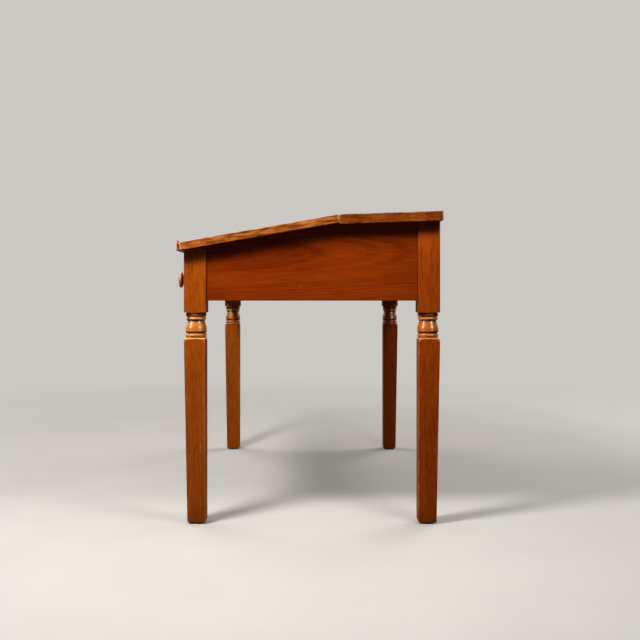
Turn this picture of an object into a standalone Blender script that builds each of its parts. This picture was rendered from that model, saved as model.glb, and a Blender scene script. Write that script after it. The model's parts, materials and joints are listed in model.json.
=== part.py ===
import math

import bmesh
import bpy
from mathutils import Matrix

for old in list(bpy.data.objects):
    bpy.data.objects.remove(old)

# Driving dimensions, in metres and degrees. +X runs along the desk to the sitter's right,
# -Y is the drawer side, the floor is Z = 0, and the footprint counts the knobs.

GAP = 0.0003

TOP_LENGTH = 1.372
END_OVERHANG = 0.025
BACK_OVERHANG = 0.006
FRONT_OVERHANG = 0.0125

LEG_SIDE = 0.0635
LEG_SPAN = 0.733
LEG_TAPER = 0.009
LEG_RELIEF = 0.0023
PAD_RADIUS = 0.022
PAD_HEIGHT = 0.005

RIDGE_HEIGHT = 0.886
RIDGE_SETBACK = 0.4425
LID_SLOPE = 9.9
LID_THICK = 0.023
CLAMP_WIDTH = 0.070
LIP_THICK = 0.0045
LIP_PROUD = 0.006
LIP_HOLLOW = 0.0025
SHELF_SLOPE = 1.9
SHELF_THICK = 0.0265
SEAM = 0.001

CASE_HEIGHT = 0.245
PANEL_THICK = 0.019
PANEL_SETBACK = 0.004
TENON_LENGTH = 0.022
TENON_THICK = 0.008
TENON_SHOULDER = 0.010

RAIL_SETBACK = 0.002
LOWER_RAIL = 0.019
UPPER_RAIL = 0.0405
STILE_WIDTH = 0.040
STILE_DEPTH = 0.030
STUB_LENGTH = 0.008
RUNNER_LEDGE = 0.025
GUIDE_HEIGHT = 0.035
KICKER_HEIGHT = 0.014
WELL_FLOOR = 0.008
BEARER_DEPTH = 0.030
BEARER_HEIGHT = 0.045
HOUSING = 0.008
GLUE_BLOCK = 0.025
GLUE_BLOCK_LENGTH = 0.080
GLUE_BLOCK_INSET = 0.326

BLOCK_DROP = 0.033
TURNED_LENGTH = 0.076
TURNING_STEPS = 24

DRAWER_DEPTH = 0.500
DRAWER_PLAY = 0.001
FRONT_THICK = 0.020
SIDE_THICK = 0.012
BACK_INSET = 0.012
BACK_DROP = 0.006
BOTTOM_THICK = 0.006
BOTTOM_RISE = 0.009
GROOVE_DEPTH = 0.005
TAIL_COUNT = 3
TAIL_LENGTH = 0.013
TAIL_FLARE = 1.0 / 7.0

KNOB_REACH = 0.036
KNOB_RADIUS = 0.024
KNOB_DOME = 0.002
KNOB_RIM = 0.005
KNOB_WAIST = 0.010
KNOB_INSET = 0.092
KNOB_STEPS = 20
SPIGOT_RADIUS = 0.006

HINGE_INSET = 0.226
HINGE_LENGTH = 0.056
LEAF_HEIGHT = 0.017
LEAF_THICK = 0.0016
LEAF_CLEARANCE = 0.00025
KNUCKLE_RADIUS = 0.00325
PIN_RADIUS = 0.0016
PIN_CLEARANCE = 0.0001
PIN_RISE = 0.0015
HINGE_STEPS = 16

# Places that follow from the driving dimensions

DEPTH = KNOB_REACH + LEG_SPAN + BACK_OVERHANG
LEG_FRONT = KNOB_REACH - DEPTH / 2
LEG_BACK = LEG_FRONT + LEG_SPAN
FRONT_LEG_INNER = LEG_FRONT + LEG_SIDE
BACK_LEG_INNER = LEG_BACK - LEG_SIDE
LEG_OUTER = TOP_LENGTH / 2 - END_OVERHANG
LEG_INNER = LEG_OUTER - LEG_SIDE

RIDGE = LEG_FRONT + RIDGE_SETBACK
APRON_BOTTOM = RIDGE_HEIGHT - CASE_HEIGHT
BLOCK_BOTTOM = APRON_BOTTOM - BLOCK_DROP
SHOULDER = BLOCK_BOTTOM - TURNED_LENGTH
LID_ANGLE = math.radians(LID_SLOPE)
SHELF_ANGLE = math.radians(SHELF_SLOPE)
SEAM_ANGLE = (LID_ANGLE + SHELF_ANGLE) / 2

PANEL_OUTER = LEG_OUTER - PANEL_SETBACK
PANEL_INNER = PANEL_OUTER - PANEL_THICK
BACK_PANEL_BACK = LEG_BACK - PANEL_SETBACK
BACK_PANEL_FRONT = BACK_PANEL_BACK - PANEL_THICK
RAIL_FRONT = LEG_FRONT + RAIL_SETBACK
RAIL_BACK = FRONT_LEG_INNER


def lid_underside(y):
    return RIDGE_HEIGHT + (y - RIDGE) * math.tan(LID_ANGLE) - LID_THICK / math.cos(LID_ANGLE)


def shelf_underside(y):
    return RIDGE_HEIGHT + (y - RIDGE) * math.tan(SHELF_ANGLE) - SHELF_THICK / math.cos(SHELF_ANGLE)


OPENING_BOTTOM = APRON_BOTTOM + LOWER_RAIL
OPENING_TOP = lid_underside(RAIL_FRONT) - UPPER_RAIL
FLOOR_BOTTOM = OPENING_TOP + KICKER_HEIGHT + GAP
PIN_Y = RIDGE - PIN_RISE * math.sin(SEAM_ANGLE)
PIN_Z = RIDGE_HEIGHT + PIN_RISE * math.cos(SEAM_ANGLE)


# Materials

def material(name, colour, roughness, metallic=0.0):
    made = bpy.data.materials.new(name)
    made.use_nodes = True
    surface = made.node_tree.nodes["Principled BSDF"]
    surface.inputs["Base Color"].default_value = (*colour, 1.0)
    surface.inputs["Roughness"].default_value = roughness
    surface.inputs["Metallic"].default_value = metallic
    return made


LEG_WOOD = material("leg_wood", (0.30, 0.075, 0.012), 0.35)
CASE_WOOD = material("case_wood", (0.24, 0.050, 0.008), 0.38)
TOP_WOOD = material("top_wood", (0.33, 0.10, 0.022), 0.40)
DRAWER_WOOD = material("drawer_wood", (0.26, 0.055, 0.009), 0.38)
INNER_WOOD = material("inner_wood", (0.42, 0.25, 0.12), 0.70)
BRASS = material("brass", (0.55, 0.38, 0.14), 0.35, 1.0)
RUBBER = material("rubber", (0.012, 0.011, 0.010), 0.80)


# Making solids

def solid(name, mesh_builder, finish):
    mesh_builder.normal_update()
    bmesh.ops.recalc_face_normals(mesh_builder, faces=mesh_builder.faces)
    mesh = bpy.data.meshes.new(name)
    mesh_builder.to_mesh(mesh)
    mesh_builder.free()
    made = bpy.data.objects.new(name, mesh)
    bpy.context.scene.collection.objects.link(made)
    if finish:
        mesh.materials.append(finish)
    return made


def prism(name, outline, axis, low, high, finish=None):
    """The outline's two coordinates are the other two axes, in the order X, Y, Z."""
    def corner(pair, along):
        first, second = pair
        return {"X": (along, first, second), "Y": (first, along, second), "Z": (first, second, along)}[axis]

    builder = bmesh.new()
    near = [builder.verts.new(corner(pair, low)) for pair in outline]
    far = [builder.verts.new(corner(pair, high)) for pair in outline]
    builder.faces.new(near)
    builder.faces.new(far)
    for index in range(len(outline)):
        after = (index + 1) % len(outline)
        builder.faces.new((near[index], near[after], far[after], far[index]))
    return solid(name, builder, finish)


def rectangle(first_low, first_high, second_low, second_high):
    return [
        (first_low, second_low),
        (first_high, second_low),
        (first_high, second_high),
        (first_low, second_high),
    ]


def box(name, xs, ys, zs, finish=None):
    return prism(name, rectangle(*xs, *ys), "Z", *zs, finish)


def turned(name, profile, steps, finish=None):
    """Spins (radius, height) points, listed from the top to the bottom, about Z."""
    builder = bmesh.new()
    rings = []
    for radius, height in profile:
        if radius == 0.0:
            rings.append([builder.verts.new((0.0, 0.0, height))] * steps)
            continue
        turns = [2 * math.pi * step / steps for step in range(steps)]
        rings.append(
            [builder.verts.new((radius * math.cos(a), radius * math.sin(a), height)) for a in turns]
        )
    for upper, lower in zip(rings, rings[1:]):
        for step in range(steps):
            after = (step + 1) % steps
            corners = [upper[step], lower[step], lower[after], upper[after]]
            builder.faces.new(list(dict.fromkeys(corners)))
    made = solid(name, builder, finish)
    made.data.shade_smooth()
    made.data.set_sharp_from_angle(angle=math.radians(35))
    return made


def boolean(target, tool, operation):
    tool.hide_render = True
    tool.display_type = "WIRE"
    step = target.modifiers.new(tool.name, "BOOLEAN")
    step.operation = operation
    step.object = tool


def cut(target, tool):
    boolean(target, tool, "DIFFERENCE")


def grow(span, by=GAP):
    return (span[0] - by, span[1] + by)


def tenon_joint(rail, post, xs, ys, zs):
    """A tenon on the rail, and the mortise for it in the post."""
    boolean(rail, box(f"tenon_{rail.name}_{post.name}", xs, ys, zs), "UNION")
    cut(post, box(f"mortise_{rail.name}_{post.name}", grow(xs), grow(ys), grow(zs)))


def axis_empty(name, place):
    empty = bpy.data.objects.new(name, None)
    empty.location = place
    bpy.context.scene.collection.objects.link(empty)
    return empty


def hang(empty, pieces):
    """Moves the pieces, and the tools that shape them, with the empty."""
    for piece in pieces:
        for carried in (piece, *(step.object for step in piece.modifiers)):
            carried.parent = empty
            carried.matrix_parent_inverse = Matrix.Translation(empty.location).inverted()


# Legs: one square post each, with a short turned section between the block and the tapered foot

def arc(centre, middle, radius, height, start, end, count):
    """Points on an ellipse of a section, from one angle to another, in degrees."""
    angles = [math.radians(start + (end - start) * i / (count - 1)) for i in range(count)]
    return [(centre + radius * math.cos(a), middle + height * math.sin(a)) for a in angles]


def leg_profile():
    """Two beads, pear-shaped bulb, ring and rounded shoulder, as shares of the turned length."""
    clear = LEG_SIDE
    half = LEG_SIDE / 2

    def level(share):
        return BLOCK_BOTTOM - share * TURNED_LENGTH

    points = [(0.0, RIDGE_HEIGHT + LEG_SIDE), (clear, RIDGE_HEIGHT + LEG_SIDE), (clear, level(-0.03))]
    points.append((half * 0.88, level(0.022)))
    points += arc(half * 0.865, level(0.10), half * 0.075, TURNED_LENGTH * 0.062, 80, -75, 5)
    points.append((half * 0.85, level(0.170)))
    points += arc(half * 0.84, level(0.238), half * 0.075, TURNED_LENGTH * 0.052, 75, -80, 5)
    points.append((half * 0.77, level(0.315)))
    points += [
        (half * (0.79 + 0.18 * math.sin(math.pi / 2 * t) ** 1.5), level(0.345 + 0.33 * t))
        for t in (0.0, 0.2, 0.4, 0.6, 0.8)
    ]
    points += arc(half * 0.88, level(0.71), half * 0.09, TURNED_LENGTH * 0.070, 25, -75, 4)
    points.append((half * 0.83, level(0.792)))
    points += arc(half * 0.885, level(0.87), half * 0.075, TURNED_LENGTH * 0.062, 75, -60, 5)
    points.append((half * 0.92, level(0.960)))
    corner = half * math.sqrt(2)
    points += arc(half * 0.93, level(1.115), corner * 1.03 - half * 0.93, TURNED_LENGTH * 0.13, 90, 0, 5)
    points += [(clear, level(1.135)), (clear, -LEG_SIDE), (0.0, -LEG_SIDE)]
    return points


def make_leg(name, side, front):
    outer_x = side * LEG_OUTER
    inner_x = side * LEG_INNER
    outer_y, inner_y = (LEG_FRONT, FRONT_LEG_INNER) if front else (LEG_BACK, BACK_LEG_INNER)
    foot_x = outer_x - side * LEG_TAPER
    foot_y = outer_y + (LEG_TAPER if front else -LEG_TAPER)
    lower_x = inner_x + side * LEG_RELIEF
    lower_y = inner_y + (-LEG_RELIEF if front else LEG_RELIEF)
    underside = lid_underside if front else shelf_underside

    builder = bmesh.new()
    rings = []
    for x, y, far_x, far_y, height in (
        (foot_x, foot_y, lower_x, lower_y, PAD_HEIGHT + GAP),
        (outer_x, outer_y, lower_x, lower_y, SHOULDER - 2 * LEG_RELIEF),
        (outer_x, outer_y, inner_x, inner_y, SHOULDER),
        (outer_x, outer_y, inner_x, inner_y, None),
    ):
        corners = [(x, y), (far_x, y), (far_x, far_y), (x, far_y)]
        levels = [underside(v) - GAP if height is None else height for _, v in corners]
        rings.append([builder.verts.new((*pair, z)) for pair, z in zip(corners, levels)])
    builder.faces.new(rings[0])
    builder.faces.new(rings[-1])
    for lower, upper in zip(rings, rings[1:]):
        for index in range(4):
            after = (index + 1) % 4
            builder.faces.new((lower[index], lower[after], upper[after], upper[index]))
    leg = solid(name, builder, LEG_WOOD)

    turning = turned(f"turning_{name}", leg_profile(), TURNING_STEPS)
    turning.location = ((outer_x + inner_x) / 2, (outer_y + inner_y) / 2, 0.0)
    boolean(leg, turning, "INTERSECT")

    pad = turned(
        f"foot_pad_{name.removeprefix('leg_')}",
        [
            (0.0, PAD_HEIGHT),
            (PAD_RADIUS, PAD_HEIGHT),
            (PAD_RADIUS, PAD_HEIGHT * 0.25),
            (PAD_RADIUS - PAD_HEIGHT * 0.25, 0.0),
            (0.0, 0.0),
        ],
        KNOB_STEPS,
        RUBBER,
    )
    pad.location = ((foot_x + lower_x) / 2, (foot_y + lower_y) / 2, 0.0)
    return leg


SIDES = {"left": -1, "right": 1}
legs = {}
for side_name, side in SIDES.items():
    legs["front", side_name] = make_leg(f"leg_front_{side_name}", side, True)
    legs["back", side_name] = make_leg(f"leg_back_{side_name}", side, False)


def across(side, near, far):
    """A span in X on one side of the desk, in rising order."""
    return tuple(sorted((side * near, side * far)))


def three_places(inset):
    """Names and X places at the middle and at this distance from both ends of the top."""
    far = TOP_LENGTH / 2 - inset
    return (("left", -far), ("middle", 0.0), ("right", far))


# Shelf and lid are laid out on their own slopes: forward from the ridge, and up from the top face.
# Both end on planes parallel to the one that halves their angle.

def on_slope(angle, forward, up):
    y = RIDGE - forward * math.cos(angle) - up * math.sin(angle)
    z = RIDGE_HEIGHT - forward * math.sin(angle) + up * math.cos(angle)
    return y, z


def seam_ends(angle, behind, thick):
    """How far forward an end face lies on the top face and on the underside."""
    top = -behind / math.cos(angle - SEAM_ANGLE)
    return top, top + thick * math.tan(angle - SEAM_ANGLE)


SHELF_TOP_END, SHELF_FOOT_END = seam_ends(SHELF_ANGLE, SEAM / 2, SHELF_THICK)
LID_TOP_END, LID_FOOT_END = seam_ends(LID_ANGLE, -SEAM / 2, LID_THICK)
SHELF_FOOT_Y = on_slope(SHELF_ANGLE, SHELF_FOOT_END, -SHELF_THICK)[0]


# End aprons, with top edges that follow the lid and then the shelf

end_aprons = {}
for side_name, side in SIDES.items():
    front_end = FRONT_LEG_INNER + GAP
    back_end = BACK_LEG_INNER - GAP
    step = SHELF_FOOT_Y - SEAM
    apron = prism(
        f"end_apron_{side_name}",
        [
            (front_end, APRON_BOTTOM),
            (back_end, APRON_BOTTOM),
            (back_end, shelf_underside(back_end) - GAP),
            (step, shelf_underside(step) - GAP),
            (step, lid_underside(step) - GAP),
            (front_end, lid_underside(front_end) - GAP),
        ],
        "X",
        *across(side, PANEL_INNER, PANEL_OUTER),
        CASE_WOOD,
    )
    middle = (PANEL_INNER + PANEL_OUTER) / 2
    thickness = across(side, middle - TENON_THICK / 2, middle + TENON_THICK / 2)
    for end, ys, top in (
        ("front", (FRONT_LEG_INNER - TENON_LENGTH, FRONT_LEG_INNER + TENON_THICK), lid_underside),
        ("back", (BACK_LEG_INNER - TENON_THICK, BACK_LEG_INNER + TENON_LENGTH), shelf_underside),
    ):
        heights = (APRON_BOTTOM + TENON_SHOULDER, top(ys[0]) - 3 * TENON_SHOULDER)
        tenon_joint(apron, legs[end, side_name], thickness, ys, heights)
    end_aprons[side_name] = apron


# Back panel between the back legs

back_panel = prism(
    "back_panel",
    [
        (BACK_PANEL_FRONT, APRON_BOTTOM),
        (BACK_PANEL_BACK, APRON_BOTTOM),
        (BACK_PANEL_BACK, shelf_underside(BACK_PANEL_BACK) - GAP),
        (BACK_PANEL_FRONT, shelf_underside(BACK_PANEL_FRONT) - GAP),
    ],
    "X",
    GAP - LEG_INNER,
    LEG_INNER - GAP,
    CASE_WOOD,
)


# Front rails and the stile between the drawers

lower_rail = box(
    "drawer_rail_lower",
    (GAP - LEG_INNER, LEG_INNER - GAP),
    (RAIL_FRONT, RAIL_BACK),
    (APRON_BOTTOM, OPENING_BOTTOM),
    CASE_WOOD,
)
upper_rail = prism(
    "drawer_rail_upper",
    [
        (RAIL_FRONT, OPENING_TOP),
        (RAIL_BACK, OPENING_TOP),
        (RAIL_BACK, lid_underside(RAIL_BACK) - GAP),
        (RAIL_FRONT, lid_underside(RAIL_FRONT) - GAP),
    ],
    "X",
    GAP - LEG_INNER,
    LEG_INNER - GAP,
    CASE_WOOD,
)

back_middle = (BACK_PANEL_FRONT + BACK_PANEL_BACK) / 2
rail_tenon_ys = (RAIL_FRONT + TENON_SHOULDER, RAIL_BACK - TENON_SHOULDER)
for side_name, side in SIDES.items():
    reach = across(side, LEG_INNER - TENON_THICK, LEG_INNER + TENON_LENGTH)
    tenon_joint(
        back_panel,
        legs["back", side_name],
        reach,
        (back_middle - TENON_THICK / 2, back_middle + TENON_THICK / 2),
        (APRON_BOTTOM + TENON_SHOULDER, shelf_underside(back_middle) - 3 * TENON_SHOULDER),
    )
    for rail, level in (
        (lower_rail, APRON_BOTTOM + LOWER_RAIL / 2),
        (upper_rail, OPENING_TOP + UPPER_RAIL / 2),
    ):
        heights = (level - TENON_THICK / 2, level + TENON_THICK / 2)
        tenon_joint(rail, legs["front", side_name], reach, rail_tenon_ys, heights)

stile = box(
    "drawer_stile",
    (-STILE_WIDTH / 2, STILE_WIDTH / 2),
    (RAIL_FRONT, RAIL_FRONT + STILE_DEPTH),
    (OPENING_BOTTOM + GAP, OPENING_TOP - GAP),
    CASE_WOOD,
)
stub_xs = (TENON_SHOULDER - STILE_WIDTH / 2, STILE_WIDTH / 2 - TENON_SHOULDER)
stub_middle = RAIL_FRONT + STILE_DEPTH / 2
stub_ys = (stub_middle - TENON_THICK / 2, stub_middle + TENON_THICK / 2)
tenon_joint(stile, lower_rail, stub_xs, stub_ys, (OPENING_BOTTOM - STUB_LENGTH, OPENING_BOTTOM + STUB_LENGTH))
tenon_joint(stile, upper_rail, stub_xs, stub_ys, (OPENING_TOP - STUB_LENGTH, OPENING_TOP + STUB_LENGTH))


# Runners, guides and kickers for the drawers

runner_top = OPENING_BOTTOM - GAP
guide_top = OPENING_BOTTOM + GUIDE_HEIGHT
between_legs = (FRONT_LEG_INNER + GAP, BACK_LEG_INNER - GAP)
rail_to_back = (RAIL_BACK + GAP, BACK_PANEL_FRONT - GAP)
for side_name, side in SIDES.items():
    outer = side * (PANEL_INNER - GAP)
    guide = side * LEG_INNER
    ledge = side * (LEG_INNER - RUNNER_LEDGE)
    prism(
        f"drawer_runner_{side_name}",
        [
            (outer, APRON_BOTTOM),
            (ledge, APRON_BOTTOM),
            (ledge, runner_top),
            (guide, runner_top),
            (guide, guide_top),
            (outer, guide_top),
        ],
        "Y",
        *between_legs,
        INNER_WOOD,
    )
    box(
        f"drawer_kicker_{side_name}",
        across(side, LEG_INNER - RUNNER_LEDGE, PANEL_INNER - GAP),
        between_legs,
        (OPENING_TOP, OPENING_TOP + KICKER_HEIGHT),
        INNER_WOOD,
    )

rib = STILE_WIDTH / 2
foot = rib + RUNNER_LEDGE
prism(
    "drawer_runner_middle",
    [
        (-foot, APRON_BOTTOM),
        (foot, APRON_BOTTOM),
        (foot, runner_top),
        (rib, runner_top),
        (rib, guide_top),
        (-rib, guide_top),
        (-rib, runner_top),
        (-foot, runner_top),
    ],
    "Y",
    *rail_to_back,
    INNER_WOOD,
)
box(
    "drawer_kicker_middle",
    (-foot, foot),
    rail_to_back,
    (OPENING_TOP, OPENING_TOP + KICKER_HEIGHT),
    INNER_WOOD,
)


# Floor of the paper well, notched round the back legs

wide = PANEL_INNER - GAP
narrow = LEG_INNER - GAP
notch = BACK_LEG_INNER - GAP
prism(
    "well_floor",
    [
        (-wide, rail_to_back[0]),
        (wide, rail_to_back[0]),
        (wide, notch),
        (narrow, notch),
        (narrow, rail_to_back[1]),
        (-narrow, rail_to_back[1]),
        (-narrow, notch),
        (-wide, notch),
    ],
    "Z",
    FLOOR_BOTTOM,
    FLOOR_BOTTOM + WELL_FLOOR,
    INNER_WOOD,
)


# Bearer under the shelf's front edge, housed in the end aprons, and glue blocks at its back

bearer_front = SHELF_FOOT_Y + SEAM
bearer_back = bearer_front + BEARER_DEPTH
bearer_bottom = shelf_underside(bearer_front) - BEARER_HEIGHT
bearer_end = PANEL_INNER + HOUSING - GAP
prism(
    "shelf_bearer",
    [
        (bearer_front, bearer_bottom),
        (bearer_back, bearer_bottom),
        (bearer_back, shelf_underside(bearer_back) - GAP),
        (bearer_front, shelf_underside(bearer_front) - GAP),
    ],
    "X",
    -bearer_end,
    bearer_end,
    INNER_WOOD,
)
for side_name, side in SIDES.items():
    housing = box(
        f"housing_{side_name}",
        across(side, PANEL_INNER - HOUSING, PANEL_INNER + HOUSING),
        grow((bearer_front, bearer_back)),
        (bearer_bottom - GAP, RIDGE_HEIGHT + SHELF_THICK),
    )
    cut(end_aprons[side_name], housing)

block_back = BACK_PANEL_FRONT - GAP
block_front = block_back - GLUE_BLOCK
for place_name, place in three_places(GLUE_BLOCK_INSET):
    prism(
        f"glue_block_{place_name}",
        [
            (block_front, shelf_underside(block_front) - GAP),
            (block_back, shelf_underside(block_back) - GAP),
            (block_back, shelf_underside(block_back) - GLUE_BLOCK),
            (block_back - GLUE_BLOCK / 3, shelf_underside(block_back) - GLUE_BLOCK),
            (block_front, shelf_underside(block_front) - GLUE_BLOCK / 3),
        ],
        "X",
        place - GLUE_BLOCK_LENGTH / 2,
        place + GLUE_BLOCK_LENGTH / 2,
        INNER_WOOD,
    )


# Rear shelf and lid

shelf_reach = (LEG_BACK + BACK_OVERHANG - RIDGE) / math.cos(SHELF_ANGLE)
shelf_drop = SHELF_THICK * math.tan(SHELF_ANGLE)
shelf = prism(
    "rear_shelf",
    [
        on_slope(SHELF_ANGLE, SHELF_TOP_END, 0.0),
        on_slope(SHELF_ANGLE, shelf_drop - shelf_reach, 0.0),
        on_slope(SHELF_ANGLE, shelf_drop - shelf_reach, -SHELF_THICK),
        on_slope(SHELF_ANGLE, SHELF_FOOT_END, -SHELF_THICK),
    ],
    "X",
    -TOP_LENGTH / 2,
    TOP_LENGTH / 2,
    TOP_WOOD,
)

lid_reach = (RIDGE_SETBACK + FRONT_OVERHANG) / math.cos(LID_ANGLE)
lid_section = [
    on_slope(LID_ANGLE, LID_TOP_END, 0.0),
    on_slope(LID_ANGLE, LID_FOOT_END, -LID_THICK),
    on_slope(LID_ANGLE, lid_reach, -LID_THICK),
    on_slope(LID_ANGLE, lid_reach, 0.0),
]
clamp_start = TOP_LENGTH / 2 - CLAMP_WIDTH
lid_panel = prism("lid_panel", lid_section, "X", -clamp_start, clamp_start, TOP_WOOD)
lid_pieces = [lid_panel]


def tongue_section(by):
    """The tongue stops short of both edges of the lid, so that it doesn't show."""
    middle = -LID_THICK / 2
    half = TENON_THICK / 2 + by
    start = 3 * TENON_SHOULDER - by
    end = lid_reach - 3 * TENON_SHOULDER + by
    corners = ((start, middle - half), (end, middle - half), (end, middle + half), (start, middle + half))
    return [on_slope(LID_ANGLE, *corner) for corner in corners]


for side_name, side in SIDES.items():
    clamp = prism(
        f"lid_clamp_{side_name}",
        lid_section,
        "X",
        *across(side, clamp_start + GAP, TOP_LENGTH / 2),
        TOP_WOOD,
    )
    reach = across(side, clamp_start - TENON_THICK, clamp_start + TENON_LENGTH)
    boolean(lid_panel, prism(f"tongue_{side_name}", tongue_section(0.0), "X", *reach), "UNION")
    cut(clamp, prism(f"groove_{side_name}", tongue_section(GAP), "X", *grow(reach)))
    lid_pieces.append(clamp)

# The lip's front is plumb, its top is round, and its back is hollowed so that both edges sit tight.

lip_back = lid_reach + GAP
lip_rear, lip_foot = on_slope(LID_ANGLE, lip_back, 0.0)
lip_front = lip_rear - LIP_THICK
lip_round = LIP_THICK / 2
lip_section = [on_slope(LID_ANGLE, lip_back, -LID_THICK), (lip_front, lid_underside(lip_front))]
lip_section += arc(lip_front + lip_round, lip_foot + LIP_PROUD - lip_round, lip_round, lip_round, 180, 0, 7)
lip_section.append((lip_rear, lip_foot))
for depth, share in ((0.0, 0.25), (LIP_HOLLOW, 0.35), (LIP_HOLLOW, 0.65), (0.0, 0.75)):
    lip_section.append(on_slope(LID_ANGLE, lip_back + depth, -share * LID_THICK))
lid_pieces.append(prism("lid_lip", lip_section, "X", -TOP_LENGTH / 2, TOP_LENGTH / 2, TOP_WOOD))


# Butt hinges: leaves let into the two end faces, three knuckles on a pin just above the ridge

def rod(name, radius, start, end, finish=None):
    made = turned(name, [(0.0, end), (radius, end), (radius, start), (0.0, start)], HINGE_STEPS, finish)
    made.data.transform(Matrix.Rotation(math.pi / 2, 4, "Y"))
    return made


def on_pin(piece, place):
    piece.location = (place, PIN_Y, PIN_Z)
    piece.rotation_euler = (SEAM_ANGLE, 0.0, 0.0)
    return piece


knuckle = HINGE_LENGTH / 3
knuckle_spans = [(start * knuckle, (start + 1) * knuckle) for start in (-1.5, -0.5, 0.5)]
leaf_depth = PIN_RISE + LEAF_HEIGHT


def make_leaf(name, place, direction, own_knuckles):
    plate_ys = tuple(sorted((direction * LEAF_CLEARANCE, direction * (LEAF_CLEARANCE + LEAF_THICK))))
    leaf = box(name, (-HINGE_LENGTH / 2, HINGE_LENGTH / 2), plate_ys, (-leaf_depth, 0.0), BRASS)
    for index, span in enumerate(knuckle_spans):
        if index in own_knuckles:
            span = grow(span, -GAP / 2)
            barrel = rod(f"barrel_{name}_{index}", KNUCKLE_RADIUS, *span)
            boolean(leaf, on_pin(barrel, place), "UNION")
        else:
            relief = rod(f"relief_{name}_{index}", KNUCKLE_RADIUS + GAP, *grow(span, GAP / 2))
            cut(leaf, on_pin(relief, place))
    bore = rod(f"bore_{name}", PIN_RADIUS + PIN_CLEARANCE, *grow((-HINGE_LENGTH / 2, HINGE_LENGTH / 2), SEAM))
    cut(leaf, on_pin(bore, place))
    return on_pin(leaf, place)


def let_in(board, name, place, direction):
    """The shallow mortise for a leaf, open at the top, and the notch for the knuckles."""
    depth = direction * (LEAF_CLEARANCE + LEAF_THICK + GAP)
    ys = tuple(sorted((-direction * SEAM, depth)))
    length = grow((-HINGE_LENGTH / 2, HINGE_LENGTH / 2))
    cut(board, on_pin(box(f"mortise_{name}", length, ys, (-leaf_depth - GAP, LEAF_HEIGHT)), place))
    cut(board, on_pin(rod(f"notch_{name}", KNUCKLE_RADIUS + GAP, *length), place))


for place_name, place in three_places(HINGE_INSET):
    make_leaf(f"hinge_{place_name}_fixed_leaf", place, 1, (0, 2))
    lid_leaf = make_leaf(f"hinge_{place_name}_lid_leaf", place, -1, (1,))
    lid_pieces.append(lid_leaf)
    on_pin(rod(f"hinge_{place_name}_pin", PIN_RADIUS, -HINGE_LENGTH / 2, HINGE_LENGTH / 2, BRASS), place)
    let_in(shelf, f"shelf_{place_name}", place, 1)
    let_in(lid_panel, f"lid_{place_name}", place, -1)

hang(axis_empty("lid_axis", (0.0, PIN_Y, PIN_Z)), lid_pieces)


# Drawers, with half-blind dovetails at the front corners

front_face = RAIL_FRONT
front_back = front_face + FRONT_THICK
drawer_back = front_face + DRAWER_DEPTH
front_bottom = OPENING_BOTTOM + DRAWER_PLAY
front_top = OPENING_TOP - DRAWER_PLAY
side_bottom = OPENING_BOTTOM + GAP
side_top = front_top - DRAWER_PLAY
panel_bottom = side_bottom + BOTTOM_RISE
panel_top = panel_bottom + BOTTOM_THICK
knob_level = (OPENING_BOTTOM + OPENING_TOP) / 2
knob_length = KNOB_REACH + RAIL_SETBACK


def tail_outlines(by):
    """Dovetail outlines in Y and Z, widest at the front, grown on all sides by the fit."""
    pitch = (side_top - side_bottom) / TAIL_COUNT
    flare = TAIL_LENGTH * TAIL_FLARE
    tip = front_back - TAIL_LENGTH - by
    root = front_back + TAIL_FLARE * SIDE_THICK
    outlines = []
    for index in range(TAIL_COUNT):
        middle = side_bottom + (index + 0.5) * pitch
        wide = pitch * 0.36 + by
        slim = wide - flare - TAIL_FLARE * TAIL_FLARE * SIDE_THICK
        lower = [(tip, middle - wide), (root, middle - slim)]
        upper = [(root, middle + slim), (tip, middle + wide)]
        outlines.append(lower + upper)
    return outlines


def knob_profile():
    """From the nearly flat face round the rim, under the head to the waist, the foot and the spigot."""
    rim_level = knob_length - KNOB_DOME - KNOB_RIM
    under = rim_level - KNOB_RIM
    waist_level = knob_length * 0.45
    bow = KNOB_RADIUS - KNOB_RIM
    foot_turn = 55
    foot_fall = (waist_level - GAP) / math.sin(math.radians(foot_turn))
    points = [(0.0, knob_length), (KNOB_RADIUS * 0.5, knob_length - KNOB_DOME * 0.3)]
    points += arc(bow, rim_level, KNOB_RIM, KNOB_RIM, 85, -75, 6)
    points += arc(bow, waist_level, bow - KNOB_WAIST, under - waist_level, 90, 180, 5)
    points += arc(bow, waist_level, bow - KNOB_WAIST, foot_fall, 195, 180 + foot_turn, 3)
    points += [(SPIGOT_RADIUS, GAP), (SPIGOT_RADIUS, -FRONT_THICK * 0.8), (0.0, -FRONT_THICK * 0.8)]
    return points


def to_front(piece):
    """Turns a piece spun about Z so that its top points to the sitter."""
    piece.data.transform(Matrix.Rotation(math.pi / 2, 4, "X"))
    return piece


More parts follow.
